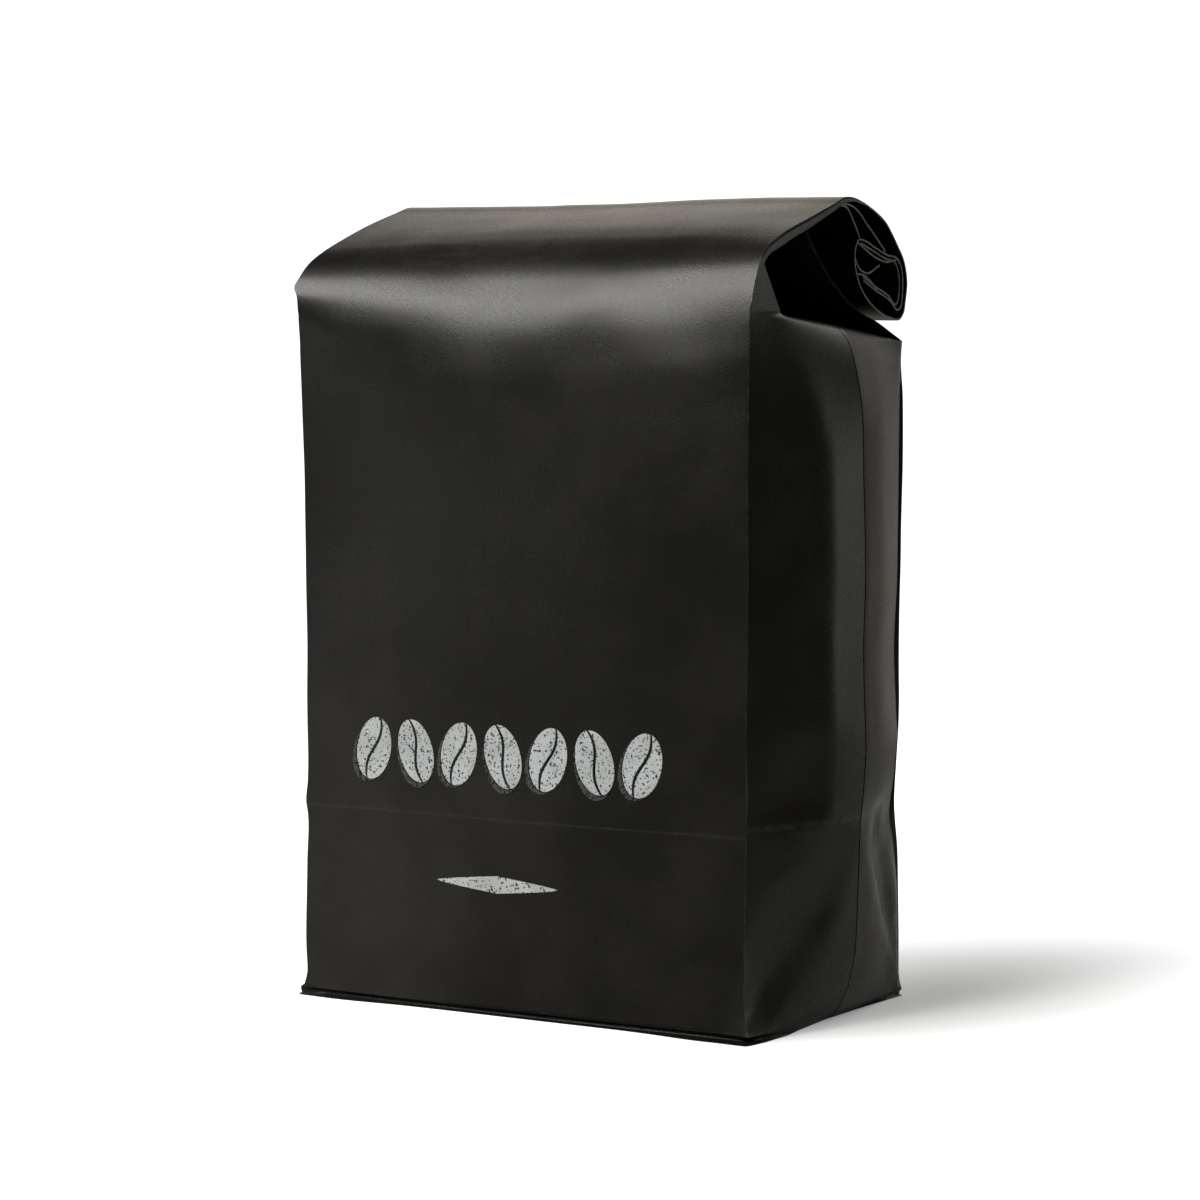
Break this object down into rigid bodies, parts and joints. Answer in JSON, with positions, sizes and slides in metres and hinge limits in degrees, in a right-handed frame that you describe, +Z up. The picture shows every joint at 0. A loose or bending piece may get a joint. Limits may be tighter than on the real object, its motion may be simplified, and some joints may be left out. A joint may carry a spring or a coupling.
{
  "type": "coffee bag",
  "caption": "Filled side-gusset paper coffee bag standing upright, its flattened top folded back over the bag and rolled down to the rear.",
  "frame": {"origin": "middle of the base, on the surface the bag stands on", "axes": "+Z up; -Y out of the printed front panel; +X towards the bag's right-hand gusset as seen from the front"},
  "size_m": [0.1252, 0.0705, 0.1689],
  "materials": {
    "paper": "black kraft paper, satin, lightly scuffed, with a speckled grey-white print low on the front"
  },
  "bodies": {
    "root": {"bag": "paper"}
  },
  "joints": []
}
